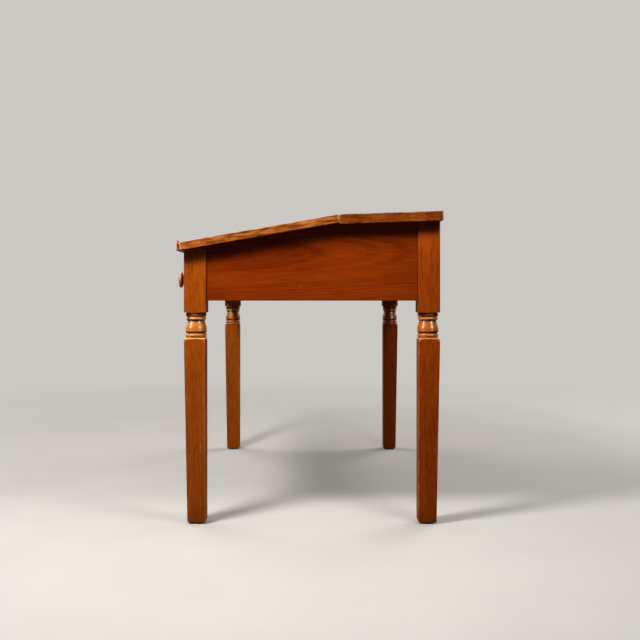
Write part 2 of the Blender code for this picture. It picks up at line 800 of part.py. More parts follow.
def make_drawer(side_name, side):
    label = f"drawer_{side_name}"
    near = STILE_WIDTH / 2 + DRAWER_PLAY
    far = LEG_INNER - DRAWER_PLAY
    front = box(
        f"{label}_front",
        across(side, near, far),
        (front_face, front_back),
        (front_bottom, front_top),
        DRAWER_WOOD,
    )
    pieces = [front]
    panel_fit = grow((panel_bottom, panel_top))
    back_ys = (drawer_back - BACK_INSET - SIDE_THICK, drawer_back - BACK_INSET)
    for wall_name, outer, inner in (
        ("inner_side", near, near + SIDE_THICK),
        ("outer_side", far, far - SIDE_THICK),
    ):
        wall = box(
            f"{label}_{wall_name}",
            across(side, outer, inner),
            (front_back + GAP, drawer_back),
            (side_bottom, side_top),
            INNER_WOOD,
        )
        beyond = outer + math.copysign(SIDE_THICK, outer - inner)
        fit = inner + math.copysign(GAP, inner - outer)
        for index, (tail, socket) in enumerate(zip(tail_outlines(-GAP), tail_outlines(GAP))):
            tail_tool = prism(f"tail_{wall.name}_{index}", tail, "X", *across(side, outer, inner))
            boolean(wall, tail_tool, "UNION")
            cut(front, prism(f"socket_{wall.name}_{index}", socket, "X", *across(side, beyond, fit)))
        groove = across(side, inner - GROOVE_DEPTH, inner + GROOVE_DEPTH)
        cut(wall, box(f"groove_{wall.name}", groove, (front_back, drawer_back + SIDE_THICK), panel_fit))
        dado = box(f"dado_{wall.name}", groove, grow(back_ys), (panel_top, side_top + SIDE_THICK))
        cut(wall, dado)
        pieces.append(wall)

    inside = (near + SIDE_THICK, far - SIDE_THICK)
    housed = across(side, inside[0] - GROOVE_DEPTH + GAP, inside[1] + GROOVE_DEPTH - GAP)
    pieces.append(
        box(
            f"{label}_back",
            housed,
            back_ys,
            (panel_top + 2 * GAP, side_top - BACK_DROP),
            INNER_WOOD,
        )
    )
    front_groove = (front_back - GROOVE_DEPTH, front_back + GROOVE_DEPTH)
    front_span = across(side, inside[0] + GAP, inside[1] - GAP)
    cut(front, box(f"groove_{front.name}", front_span, front_groove, panel_fit))
    bottom = box(
        f"{label}_bottom",
        housed,
        (front_back + 2 * GAP, drawer_back - GAP),
        (panel_bottom, panel_top),
        INNER_WOOD,
    )
    edge = box(
        f"edge_{bottom.name}",
        across(side, inside[0] + 2 * GAP, inside[1] - 2 * GAP),
        (front_back - GROOVE_DEPTH + GAP, front_back + GROOVE_DEPTH),
        (panel_bottom, panel_top),
    )
    boolean(bottom, edge, "UNION")
    pieces.append(bottom)

    for knob_name, place in (("inner_knob", near + KNOB_INSET), ("outer_knob", far - KNOB_INSET)):
        knob = to_front(turned(f"{label}_{knob_name}", knob_profile(), KNOB_STEPS, DRAWER_WOOD))
        knob.location = (side * place, front_face, knob_level)
        hole_profile = [
            (0.0, SIDE_THICK),
            (SPIGOT_RADIUS + GAP, SIDE_THICK),
            (SPIGOT_RADIUS + GAP, -2 * FRONT_THICK),
            (0.0, -2 * FRONT_THICK),
        ]
        hole = to_front(turned(f"hole_{label}_{knob_name}", hole_profile, KNOB_STEPS))
        hole.location = knob.location
        cut(front, hole)
        pieces.append(knob)

    middle = side * (near + far) / 2
    hang(axis_empty(f"{label}_slide", (middle, front_face, knob_level)), pieces)


for side_name, side in SIDES.items():
    make_drawer(side_name, side)
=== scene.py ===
import json
import math

import bmesh
import bpy
from mathutils import Matrix, Vector

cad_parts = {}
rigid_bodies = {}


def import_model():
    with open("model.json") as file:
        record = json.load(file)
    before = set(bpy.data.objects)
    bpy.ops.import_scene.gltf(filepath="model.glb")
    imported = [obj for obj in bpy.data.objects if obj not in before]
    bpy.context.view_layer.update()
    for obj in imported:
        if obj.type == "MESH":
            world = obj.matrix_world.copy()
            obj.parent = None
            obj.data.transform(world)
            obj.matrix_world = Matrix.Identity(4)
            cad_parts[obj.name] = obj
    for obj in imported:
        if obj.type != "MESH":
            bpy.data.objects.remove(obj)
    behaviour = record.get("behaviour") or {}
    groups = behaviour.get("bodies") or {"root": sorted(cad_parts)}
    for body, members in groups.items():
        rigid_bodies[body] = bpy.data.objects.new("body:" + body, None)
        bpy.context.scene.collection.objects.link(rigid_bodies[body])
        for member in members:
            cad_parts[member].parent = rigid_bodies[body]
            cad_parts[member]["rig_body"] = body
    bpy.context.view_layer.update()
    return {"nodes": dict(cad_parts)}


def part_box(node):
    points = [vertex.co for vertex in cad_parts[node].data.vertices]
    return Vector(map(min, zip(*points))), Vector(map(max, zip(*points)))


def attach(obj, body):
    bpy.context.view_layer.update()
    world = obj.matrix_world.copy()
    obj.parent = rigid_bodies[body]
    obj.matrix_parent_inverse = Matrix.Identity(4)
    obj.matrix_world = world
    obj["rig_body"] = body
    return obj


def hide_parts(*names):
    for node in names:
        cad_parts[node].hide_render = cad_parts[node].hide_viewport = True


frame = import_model()
nodes = frame["nodes"]
scene = bpy.context.scene
print("frame loaded,", len(nodes), "nodes")


# sockets that join in Python sums, for shader and geometry trees alike

def pick(sockets, key):
    if isinstance(key, int):
        return sockets[key]
    return next(s for s in sockets if s.enabled and key in (None, s.name))


class Wire:
    def __init__(self, tree, socket=None):
        self.tree = tree
        self.socket = socket

    def node(self, kind, settings, inputs, output=None):
        made = self.tree.nodes.new(kind)
        for key, value in settings.items():
            if key == "stops":
                ramp = made.color_ramp.elements
                while len(ramp) < len(value):
                    ramp.new(0.5)
                for element, (place, colour) in zip(ramp, value):
                    element.position = place
                    element.color = (*colour, 1.0)
            else:
                setattr(made, key, value)
        for key, value in inputs.items():
            socket = pick(made.inputs, key)
            if isinstance(value, Wire):
                self.tree.links.new(value.socket, socket)
            else:
                socket.default_value = value
        return Wire(self.tree, pick(made.outputs, output))

    def sum(self, operation, *terms):
        return self.node("ShaderNodeMath", {"operation": operation}, dict(enumerate(terms)))

    def __add__(self, other):
        return self.sum("ADD", self, other)

    def __sub__(self, other):
        return self.sum("SUBTRACT", self, other)

    def __rsub__(self, other):
        return self.sum("SUBTRACT", other, self)

    def __mul__(self, other):
        return self.sum("MULTIPLY", self, other)

    def __truediv__(self, other):
        return self.sum("DIVIDE", self, other)

    def __rtruediv__(self, other):
        return self.sum("DIVIDE", other, self)

    def __pow__(self, other):
        return self.sum("POWER", self, other)

    __radd__ = __add__
    __rmul__ = __mul__

    def least(self, other):
        return self.sum("MINIMUM", self, other)

    def most(self, other):
        return self.sum("MAXIMUM", self, other)

    def size(self):
        return self.sum("ABSOLUTE", self)

    def clip(self):
        return self.node("ShaderNodeClamp", {}, {"Value": self})

    def toward(self, other, share):
        return self + (other - self) * share

    def smooth(self, low, high):
        limits = {"Value": self, "From Min": low, "From Max": high}
        return self.node("ShaderNodeMapRange", {"interpolation_type": "SMOOTHSTEP"}, limits)

    def split(self):
        apart = self.node("ShaderNodeSeparateXYZ", {}, {0: self})
        return [Wire(self.tree, socket) for socket in apart.socket.node.outputs]

    def tint(self, factor, colour, blend="MIX"):
        colour = colour if isinstance(colour, Wire) else (*colour, 1.0)
        kind = {"data_type": "RGBA", "blend_type": blend}
        return self.node("ShaderNodeMix", kind, {"Factor": factor, "A": self, "B": colour})

    def dot(self, way):
        return self.node("ShaderNodeVectorMath", {"operation": "DOT_PRODUCT"}, {0: self, 1: way}, "Value")

    def ramp(self, stops):
        return self.node("ShaderNodeValToRGB", {"stops": stops}, {"Fac": self}, "Color")

    def bump(self, strength, distance):
        return self.node("ShaderNodeBump", {}, {"Strength": strength, "Distance": distance, "Height": self})

    def noise(self, stretch, shift, detail=2.0, rough=0.55):
        spread = {0: self, 1: stretch, 2: shift}
        spot = self.node("ShaderNodeVectorMath", {"operation": "MULTIPLY_ADD"}, spread)
        values = {"Vector": spot, "Scale": 1.0, "Detail": detail, "Roughness": rough}
        return self.node("ShaderNodeTexNoise", {}, values)


def newMaterial(name):
    made = bpy.data.materials.new(name)
    made.use_nodes = True
    return made, made.node_tree.nodes["Principled BSDF"], Wire(made.node_tree)


def feed(surface, **links):
    names = {"colour": "Base Color", "rough": "Roughness", "normal": "Normal", "coat": "Coat Weight"}
    for key, wire in links.items():
        wire.tree.links.new(wire.socket, surface.inputs[names[key]])


# finishes: stained and varnished outside, bare inside; colours are linear

finishes = {
    "leg_wood": {
        "dark": (0.150, 0.020, 0.001),
        "mid": (0.350, 0.064, 0.003),
        "pale": (0.500, 0.125, 0.014),
        "worn": (0.740, 0.390, 0.150),
        "lathe": (0.540, 0.165, 0.014),
        "ring": 0.10, "fibre": 0.24, "fleck": 30.0, "grit": 210.0, "streak": 0.18, "cloud": 0.30,
        "pore": 0.40, "ringGap": 0.0075, "waver": 0.020, "runout": 0.02, "pith": 0.05,
        "wear": 0.0024, "wornAmount": 0.45, "scuff": 0.10, "rough": 0.34, "coat": 0.16,
    },
    "case_wood": {
        "dark": (0.095, 0.009, 0.0005),
        "mid": (0.210, 0.024, 0.0010),
        "pale": (0.310, 0.044, 0.0030),
        "worn": (0.450, 0.150, 0.040),
        "ring": 0.20, "fibre": 0.30, "fleck": 14.0, "grit": 300.0, "streak": 0.15, "cloud": 0.85,
        "pore": 0.30, "ringGap": 0.0036, "waver": 0.040, "runout": 0.05, "pith": 0.06,
        "wear": 0.0020, "wornAmount": 0.25, "scuff": 0.10, "rough": 0.38, "coat": 0.12,
    },
    "top_wood": {
        "dark": (0.110, 0.017, 0.0010),
        "mid": (0.320, 0.072, 0.0080),
        "pale": (0.500, 0.165, 0.036),
        "worn": (0.700, 0.390, 0.190),
        "ring": 0.34, "fibre": 0.40, "fleck": 6.0, "grit": 190.0, "streak": 0.36, "cloud": 0.48,
        "pore": 0.50, "ringGap": 0.0045, "waver": 0.022, "runout": 0.03, "pith": 0.14,
        "wear": 0.0036, "wornAmount": 0.75, "scuff": 0.60, "rough": 0.42, "coat": 0.15,
    },
    "drawer_wood": {
        "dark": (0.120, 0.013, 0.0008),
        "mid": (0.250, 0.036, 0.0018),
        "pale": (0.370, 0.070, 0.006),
        "worn": (0.520, 0.190, 0.055),
        "ring": 0.34, "fibre": 0.34, "fleck": 11.0, "grit": 170.0, "streak": 0.40, "cloud": 0.60,
        "pore": 0.35, "ringGap": 0.0060, "waver": 0.030, "runout": 0.05, "pith": 0.06,
        "wear": 0.0026, "wornAmount": 0.45, "scuff": 0.15, "rough": 0.36, "coat": 0.25,
    },
    "knob_wood": {
        "dark": (0.160, 0.026, 0.002),
        "mid": (0.430, 0.140, 0.026),
        "pale": (0.600, 0.260, 0.080),
        "worn": (0.720, 0.420, 0.190),
        "lathe": (0.330, 0.105, 0.018),
        "ring": 0.22, "fibre": 0.34, "fleck": 60.0, "grit": 300.0, "streak": 0.40, "cloud": 0.60,
        "pore": 0.30, "ringGap": 0.0040, "waver": 0.004, "runout": 0.05, "pith": 0.03,
        "wear": 0.0020, "wornAmount": 0.0, "scuff": 0.0, "rough": 0.34, "coat": 0.10,
    },
    "inner_wood": {
        "dark": (0.210, 0.100, 0.035),
        "mid": (0.420, 0.245, 0.105),
        "pale": (0.550, 0.360, 0.180),
        "worn": (0.310, 0.185, 0.085),
        "ring": 0.40, "fibre": 0.36, "fleck": 11.0, "grit": 190.0, "streak": 0.50, "cloud": 0.60,
        "pore": 0.35, "ringGap": 0.0050, "waver": 0.020, "runout": 0.04, "pith": 0.07,
        "wear": 0.0030, "wornAmount": 0.30, "scuff": 0.10, "rough": 0.68, "coat": 0.0,
    },
}
finishes["clamp_wood"] = {**finishes["top_wood"], "fibre": 0.75, "fleck": 27.0, "grit": 150.0}

lidSlope = math.radians(9.9)
shelfSlope = math.radians(1.9)
grainTurns = {  # local X is the grain, in each piece's own lie
    "x": Matrix.Identity(3),
    "y": Matrix.Rotation(math.pi / 2, 3, "Z"),
    "z": Matrix.Rotation(-math.pi / 2, 3, "Y"),
    "lid": Matrix.Rotation(lidSlope, 3, "X"),
    "clamp": Matrix.Rotation(lidSlope, 3, "X") @ Matrix.Rotation(math.pi / 2, 3, "Z"),
    "shelf": Matrix.Rotation(shelfSlope, 3, "X"),
}


def lieOf(node, grain):
    turn = grainTurns[grain]
    spots = [turn.transposed() @ vertex.co for vertex in nodes[node].data.vertices]
    low = Vector([min(spot[axis] for spot in spots) for axis in range(3)])
    high = Vector([max(spot[axis] for spot in spots) for axis in range(3)])
    return turn @ ((low + high) / 2), turn.to_euler("XYZ"), (high - low) / 2


def nearestEdge(local, half):
    gaps = [half[axis] - wire.size() for axis, wire in enumerate(local.split())]
    return gaps[0].least(gaps[1]).most(gaps[0].most(gaps[1]).least(gaps[2]))


figure = {  # features per metre along, across and through the board; bands are where a pattern fades in
    "waver": (0.9, 4.0, 4.0), "streak": (1.6, 60.0, 60.0), "cloud": (3.2, 8.0, 8.0),
    "calm": (6.0, 190.0, 190.0), "pore": (60.0, 1500.0, 1500.0), "nick": (38.0, 52.0, 52.0),
    "ragged": (30.0, 120.0, 120.0), "patchy": (9.0, 14.0, 14.0), "scuff": (26.0, 170.0, 170.0),
    "smear": (260.0, 14.0, 230.0), "smearUpright": (260.0, 230.0, 14.0),
    "ringBand": (0.32, 0.68), "fibreBand": (0.30, 0.70), "poreBand": (0.60, 0.72), "nickBand": (0.755, 0.80),
    "patchyBand": (0.40, 0.62), "scuffBand": (0.56, 0.70), "faceBand": (0.75, 0.95),
    "jointBand": (0.4955, 0.4985), "jointDark": 0.6, "firstJoint": 0.37, "plankSlide": (0.713, 0.131),
    "plankTone": 0.30, "sidle": 0.03, "endDark": 0.18, "nickPale": 0.35, "scuffReach": (0.006, 0.030),
    "blockBand": (0.59, 0.61), "blockKept": 0.85, "blockArris": (0.0, 0.0016), "blockDark": 0.55,
    "grimeBand": (0.0, 0.50), "grime": 0.08, "grooveBand": (0.05, 0.80), "grooveDark": 0.92,
    "beadBand": (0.40, 1.5), "beadPale": 0.10, "polishBand": (-0.6, 0.0),
    "bump": 0.30, "bumpDepth": 0.0004, "coatRough": 0.22, "turnedCoatRough": 0.31, "coatIor": 1.28,
}


def shiftOf(seed):  # each seed reads the noise at a place of its own
    return seed * 1.37 % 7.0, seed * 2.11 % 5.0, seed * 3.07 % 9.0


def woodMaterial(name, finish, lie, seed, plank=0.0, tone=0.0, rubs=(), turned=0.0, stain=(1.0, 1.0, 1.0)):
    look = finishes[finish]
    made, surface, start = newMaterial(name)
    centre, turn, half = lie
    spot = start.node("ShaderNodeTexCoord", {}, {}, "Object")
    lay = {"Vector": spot, "Location": centre, "Rotation": turn}
    local = start.node("ShaderNodeMapping", {"vector_type": "TEXTURE"}, lay)
    shift = shiftOf(seed)
    other = tuple(value + 11.3 for value in shift)
    board = local
    joint = None
    if plank:  # boards glued edge to edge, each with its own grain
        share = local.split()[1] / plank + figure["firstJoint"]
        index = share.sum("FLOOR", share)
        joint = ((share - index) - 0.5).size().smooth(*figure["jointBand"])
        slideX, slideZ = figure["plankSlide"]
        slide = start.node("ShaderNodeCombineXYZ", {}, {0: index * slideX, 2: index * slideZ})
        board = start.node("ShaderNodeVectorMath", {"operation": "ADD"}, {0: local, 1: slide})
    along, across, depth = board.split()
    smearScale = figure["smear"]
    if half[1] < half[2]:
        across, depth = depth, across
        smearScale = figure["smearUpright"]
    facing = start.node("ShaderNodeTexCoord", {}, {}, "Normal")
    endGrain = facing.dot(turn.to_matrix() @ Vector((1.0, 0.0, 0.0))).size().smooth(*figure["faceBand"])

    waver = board.noise(figure["waver"], shift, 1.0) - 0.5
    sidle = figure["sidle"] * math.sin(seed * 2.3)
    sink = min(half[1], half[2]) + look["pith"] * (1.0 + 0.4 * math.cos(seed))
    offX = across - sidle
    offZ = depth + sink + along * look["runout"]
    radius = (offX * offX + offZ * offZ) ** 0.5 + waver * look["waver"]
    years = {0: along * 0.8, 1: radius / look["ringGap"], 2: across * 3.0}
    years = start.node("ShaderNodeCombineXYZ", {}, years)
    ring = years.noise((1.0, 1.0, 1.0), shift, 3.0, 0.6).smooth(*figure["ringBand"])
    fibreScale = (look["fleck"], look["grit"], look["grit"])
    fibre = board.noise(fibreScale, shift, 4.0, 0.6).smooth(*figure["fibreBand"])
    smear = board.noise(smearScale, other, 4.0, 0.6).smooth(*figure["fibreBand"])
    fibre = fibre.toward(smear * 0.6 + 0.2, endGrain)
    if finish == "clamp_wood":  # the writing face is calmer than the end
        wide = facing.dot(turn.to_matrix() @ Vector((0.0, 0.0, 1.0))).size().smooth(*figure["faceBand"])
        calm = board.noise(figure["calm"], shift, 4.0, 0.6).smooth(*figure["fibreBand"])
        fibre = fibre.toward(calm * 0.55 + 0.22, wide)
    streak = board.noise(figure["streak"], shift)
    cloud = board.noise(figure["cloud"], shift)
    pore = board.noise(figure["pore"], shift, 1.0).smooth(*figure["poreBand"])
    nick = local.noise(figure["nick"], shift, 2.0).smooth(*figure["nickBand"])
    ring = (ring - 0.5) * (1.0 - endGrain * 0.6) + 0.5

    shade = (ring - 0.5) * look["ring"] + (fibre - 0.5) * look["fibre"] + (0.5 + tone)
    shade = shade + (streak - 0.5) * look["streak"] + (cloud - 0.5) * look["cloud"]
    shade = shade - endGrain * figure["endDark"]
    if plank:
        chance = start.node("ShaderNodeTexWhiteNoise", {"noise_dimensions": "1D"}, {"W": index + seed})
        shade = shade + (chance - 0.5) * figure["plankTone"]
    colour = shade.ramp([(0.12, look["dark"]), (0.5, look["mid"]), (0.88, look["pale"])])
    colour = colour.tint(pore * look["pore"], look["dark"])
    colour = colour.tint(1.0, stain, "MULTIPLY")

    ragged = local.noise(figure["ragged"], shift, 3.0, 0.65)
    if turned:
        edge = start.node("ShaderNodeAttribute", {"attribute_name": "edge"}, {}, "Fac")
    else:
        edge = nearestEdge(local, half)
    patchy = local.noise(figure["patchy"], other, 3.0, 0.6).smooth(*figure["patchyBand"])
    wear = ((ragged * 1.9 - 0.25) * look["wear"] - edge) / (look["wear"] * 0.5)
    wear = wear.clip() * (patchy * 0.8 + 0.2)
    if finish in ("top_wood", "clamp_wood"):  # the upper arrises wear most
        wear = wear * (local.split()[2].smooth(-0.4 * half[2], 0.3 * half[2]) * 0.8 + 0.2)
    for axis, sign, width, amount in rubs:  # ends that hands and use have rubbed
        gap = half[axis] - local.split()[axis] * sign
        wear = wear.most(((ragged * 1.6 - 0.1) * width - gap + width * 0.3).smooth(0.0, width * 0.7) * amount)
    wear = wear * look["wornAmount"]
    scuff = local.noise(figure["scuff"], other, 3.0, 0.6).smooth(*figure["scuffBand"]) * patchy
    scuff = scuff * (1.0 - edge.smooth(*figure["scuffReach"])) * (1.0 - endGrain * 0.8) * look["scuff"]
    colour = colour.tint(scuff, look["worn"])
    if turned:  # beads paled by wear and painted highlight; grooves and hollows darkened by old polish and painted shade
        rubbed = start.node("ShaderNodeAttribute", {"attribute_name": "rubbed"}, {}, "Fac")
        lathed = start.node("ShaderNodeAttribute", {"attribute_name": "lathed"}, {}, "Fac")
        colour = colour.tint(lathed * turned, [part * share for part, share in zip(look["lathe"], stain)])
        # painted shade: grooves, the cone and upper bead under the block, the bulb's underside and the hollow
        # under each knob head are darkened where shade falls; the grooves also hold old polish
        groove = (0.0 - rubbed).smooth(*figure["grooveBand"])
        colour = colour.tint(groove * figure["grooveDark"], look["dark"])
        # painted highlight: the shoulder rim is paled where lamps would catch it, and the lower bead and ring
        # partly so, beside real wear on beads and foot tip
        bead = rubbed.smooth(*figure["beadBand"])
        colour = colour.tint(bead * (figure["beadPale"] + turned), look["worn"])
        polish = lathed * rubbed.smooth(*figure["polishBand"])
        feed(surface, coat=polish.toward(look["coat"], 1.0 - lathed))
        above = spot.split()[2]
        block = above.smooth(*figure["blockBand"])  # arrises high on the desk keep their polish
        wear = wear * (1.0 - block * figure["blockKept"])
        # painted shade: the block's arrises are darkened
        arris = 1.0 - edge.smooth(*figure["blockArris"])
        colour = colour.tint(block * arris * figure["blockDark"], look["dark"])
        # darker towards the foot: some dirt, and painted shade for light falling off down the leg
        colour = colour.tint((1.0 - above.smooth(*figure["grimeBand"])) * figure["grime"], look["dark"])
    if joint:
        colour = colour.tint(joint * figure["jointDark"], look["dark"])
    colour = colour.tint(wear, look["worn"])
    colour = colour.tint(nick * figure["nickPale"], look["worn"])

    rough = (fibre - 0.5) * 0.22 + look["rough"] + wear * 0.22
    height = fibre * 0.30 + ring * 0.12 - pore * 0.8 - nick * 0.9 - wear * 0.3
    feed(surface, colour=colour, rough=rough, normal=height.bump(figure["bump"], figure["bumpDepth"]))
    surface.inputs["Specular IOR Level"].default_value = 0.0  # the varnish coat alone shines
    surface.inputs["Coat Roughness"].default_value = figure["turnedCoatRough" if turned else "coatRough"]
    surface.inputs["Coat IOR"].default_value = figure["coatIor"]
    if not turned:
        surface.inputs["Coat Weight"].default_value = look["coat"]
    return made


def brassMaterial(name, shift):
    made, surface, start = newMaterial(name)
    spot = start.node("ShaderNodeTexCoord", {}, {}, "Object")
    tarnish = spot.noise((130.0, 130.0, 130.0), shift, 4.0, 0.65).smooth(0.42, 0.66)
    scratch = spot.noise((60.0, 900.0, 900.0), shift, 2.0)
    colour = scratch.ramp([(0.3, (0.42, 0.26, 0.085)), (0.7, (0.66, 0.46, 0.18))])
    colour = colour.tint(tarnish * 0.7, (0.14, 0.075, 0.028))
    rough = tarnish * 0.28 + scratch * 0.2 + 0.18
    feed(surface, colour=colour, rough=rough, normal=(scratch - tarnish * 0.6).bump(0.2, 0.0002))
    surface.inputs["Metallic"].default_value = 1.0
    return made


def rubberMaterial(name, shift):
    made, surface, start = newMaterial(name)
    spot = start.node("ShaderNodeTexCoord", {}, {}, "Object")
    grit = spot.noise((700.0, 700.0, 700.0), shift, 3.0, 0.7)
    dust = spot.noise((90.0, 90.0, 90.0), shift, 3.0).smooth(0.5, 0.75)
    colour = grit.ramp([(0.3, (0.004, 0.004, 0.004)), (0.75, (0.012, 0.011, 0.010))])
    colour = colour.tint(dust * 0.2, (0.10, 0.09, 0.08))
    feed(surface, colour=colour, rough=grit * 0.3 + 0.6, normal=grit.bump(0.4, 0.0003))
    surface.inputs["Specular IOR Level"].default_value = 0.3
    return made


def addPiece(name, mesh, body, slot, *stoodFor):
    piece = bpy.data.objects.new(name, mesh)
    scene.collection.objects.link(piece)
    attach(piece, body)
    if stoodFor:
        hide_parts(*stoodFor)
    return piece


def bodyOf(node):
    return nodes[node]["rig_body"]


# geometry trees

def newTree(name, sockets):
    tree = bpy.data.node_groups.new(name, "GeometryNodeTree")
    for label, kind in sockets.items():
        tree.interface.new_socket(label, in_out="INPUT", socket_type="NodeSocket" + kind)
    tree.interface.new_socket("Geometry", in_out="OUTPUT", socket_type="NodeSocketGeometry")
    group = tree.nodes.new("NodeGroupInput")
    return tree, {label: Wire(tree, group.outputs[label]) for label in sockets}


def endTree(tree, geometry, material):
    whole = geometry.node("GeometryNodeRealizeInstances", {}, {"Geometry": geometry})
    painted = whole.node("GeometryNodeSetMaterial", {}, {"Geometry": whole, "Material": material})
    tree.links.new(painted.socket, tree.nodes.new("NodeGroupOutput").inputs["Geometry"])


def runTree(tree, values, points=None):
    carrier = bpy.data.objects.new("carrier", points or bpy.data.meshes.new("carrier"))
    scene.collection.objects.link(carrier)
    step = carrier.modifiers.new(tree.name, "NODES")
    step.node_group = tree
    for item in tree.interface.items_tree:
        if item.in_out == "INPUT" and item.name in values:
            step[item.identifier] = values[item.name]
    depsgraph = bpy.context.evaluated_depsgraph_get()
    mesh = bpy.data.meshes.new_from_object(
        carrier.evaluated_get(depsgraph), preserve_all_data_layers=True, depsgraph=depsgraph
    )
    bpy.data.objects.remove(carrier)
    return mesh


# turning: a square post is the least of the square's reach and the turned radius, all the way round

lathe = {
    # the shoulder rim's paling is a painted highlight
    "crowd": 0.92, "easeSpan": 0.010, "rimDrop": 0.0006, "rimWear": 2.0, "tipSpan": 0.004, "tipWear": 0.9,
    "lathedGain": 1000.0, "grooveGap": 8.0, "bow": 3.0, "weld": 1e-6, "sharp": math.radians(38),
}
turnedTree, ask = newTree("turned on the lathe", {
    "Profile": "Object", "Rings": "Int", "Segments": "Int",
    "Half Width": "Float", "Foot Half Width": "Float", "Lean X": "Float", "Lean Y": "Float",
    "Shoulder": "Float", "Foot": "Float", "Arris": "Float",
    "Relief": "Float", "Relief X": "Float", "Relief Y": "Float",
    "Arch Level": "Float", "Arch Height": "Float", "Arch Start": "Float", "Arch Reach": "Float",
    "Rim": "Float", "Ease": "Float",
    "Top Slope": "Float", "Slope Start": "Float", "Top": "Float", "Material": "Material",
})
start = Wire(turnedTree)
grid = start.node("GeometryNodeMeshGrid", {}, {
    "Size X": 1.0, "Size Y": 1.0, "Vertices X": ask["Segments"] + 1, "Vertices Y": ask["Rings"],
}, "Mesh")
gridX, gridY = start.node("GeometryNodeInputPosition", {}, {}).split()[:2]
quarter = (gridX + 0.5) * 4.0
whole = quarter.sum("FLOOR", quarter)
part = quarter - whole
swing = part * (2 * math.pi)
crowd = swing.sum("SINE", swing) * (lathe["crowd"] / (2 * math.pi))  # segments crowd near the arrises
angle = (whole + part - crowd) * (math.pi / 2) + math.pi / 4
row = (gridY + 0.5) * (ask["Rings"] - 1)
row = row.sum("ROUND", row)
profile = start.node("GeometryNodeObjectInfo", {}, {"Object": ask["Profile"]}, "Geometry")
place = start.node("GeometryNodeInputPosition", {}, {})
ringPlace = start.node("GeometryNodeSampleIndex", {"data_type": "FLOAT_VECTOR"}, {
    "Geometry": profile, "Value": place, "Index": row,
})
rub = start.node("GeometryNodeInputNamedAttribute", {"data_type": "FLOAT"}, {"Name": "rubbed"}, "Attribute")
ringWearAndLight = start.node("GeometryNodeSampleIndex", {"data_type": "FLOAT"}, {
    "Geometry": profile, "Value": rub, "Index": row,
})
turnRadius, inset, level = ringPlace.split()
lowEnd = ask["Shoulder"] - ask["Relief"] * 2.0
fall = ((lowEnd - level) / (lowEnd - ask["Foot"])).clip()
eased = ((ask["Shoulder"] - level) / (ask["Relief"] * 2.0)).clip()
taper = (ask["Foot Half Width"] - ask["Half Width"]) * fall
half = ask["Half Width"] + taper - ask["Relief"] * eased * 0.5 - inset
cosine = angle.sum("COSINE", angle)
sine = angle.sum("SINE", angle)
wide = cosine.size().most(sine.size())
narrow = cosine.size().least(sine.size())
archTop = ask["Arch Level"] + ask["Arch Height"]
arris = ask["Arris"] + ask["Ease"] * (1.0 - (archTop - level).size() / lathe["easeSpan"]).clip()
square = half / wide
square = square.sum("SMOOTH_MIN", square, half * math.sqrt(2) - arris, arris * 2.0)
reach = square.least(turnRadius)
outX = ask["Lean X"] * fall + ask["Relief X"] * eased + reach * cosine
outY = ask["Lean Y"] * fall + ask["Relief Y"] * eased + reach * sine
rise = ((level - ask["Slope Start"]) / (ask["Top"] - ask["Slope Start"])).clip()
outZ = level + ask["Top Slope"] * outY * rise
spot = start.node("ShaderNodeCombineXYZ", {}, {0: outX, 1: outY, 2: outZ})
lathed = ((square - reach) * lathe["lathedGain"]).clip()
outward = ((square - ask["Arch Start"]) / ask["Arch Reach"]).clip()
bow = (1.0 - outward ** lathe["bow"]) ** (1 / lathe["bow"])
arch = ask["Arch Level"] + ask["Arch Height"] * bow  # where the shoulder meets the faces
rim = (1.0 - (arch - lathe["rimDrop"] - level).size() / ask["Rim"]).clip()
tip = (1.0 - (level - ask["Foot"]) / lathe["tipSpan"]).clip()
# marks: distance from the arris; a wear-and-light value that pales beads, foot tip and shoulder rim (wear,
# with a painted highlight on the rim) or darkens hollows as painted shade; the lathed share
marks = {
    "edge": half * (1.0 - narrow / wide) + (square - reach) * lathe["grooveGap"],
    "rubbed": ringWearAndLight * lathed + rim * lathe["rimWear"] + tip * lathe["tipWear"],
    "lathed": lathed,
}
marked = grid
for label, value in marks.items():
    marked = start.node("GeometryNodeStoreNamedAttribute", {"data_type": "FLOAT", "domain": "POINT"}, {
        "Geometry": marked, "Name": label, "Value": value,
    })
moved = start.node("GeometryNodeSetPosition", {}, {"Geometry": marked, "Position": spot})
closed = start.node("GeometryNodeMergeByDistance", {}, {"Geometry": moved, "Distance": lathe["weld"]})
endTree(turnedTree, closed, ask["Material"])


def arc(centre, middle, radius, height, first, last, count, rub=0.0):
    rings = []
    for step in range(count):
        share = step / (count - 1)
        turn = math.radians(first + (last - first) * share)
        ring = (centre + radius * math.cos(turn), 0.0, middle + height * math.sin(turn))
        rings.append((*ring, rub * math.sin(math.pi * share)))
    return rings


def turnPiece(rings, material, values):
    mesh = bpy.data.meshes.new("profile")
    mesh.from_pydata([ring[:3] for ring in rings], [], [])
    rubbed = mesh.attributes.new("rubbed", "FLOAT", "POINT")
    rubbed.data.foreach_set("value", [ring[3] for ring in rings])
    profile = bpy.data.objects.new("profile", mesh)
    scene.collection.objects.link(profile)
    made = runTree(turnedTree, {"Profile": profile, "Rings": len(rings), "Material": material, **values})
    bpy.data.objects.remove(profile)
    work = bmesh.new()
    work.from_mesh(made)
    bmesh.ops.recalc_face_normals(work, faces=work.faces)
    work.to_mesh(made)
    work.free()
    made.shade_smooth()
    made.set_sharp_from_angle(angle=lathe["sharp"])
    return made


# legs

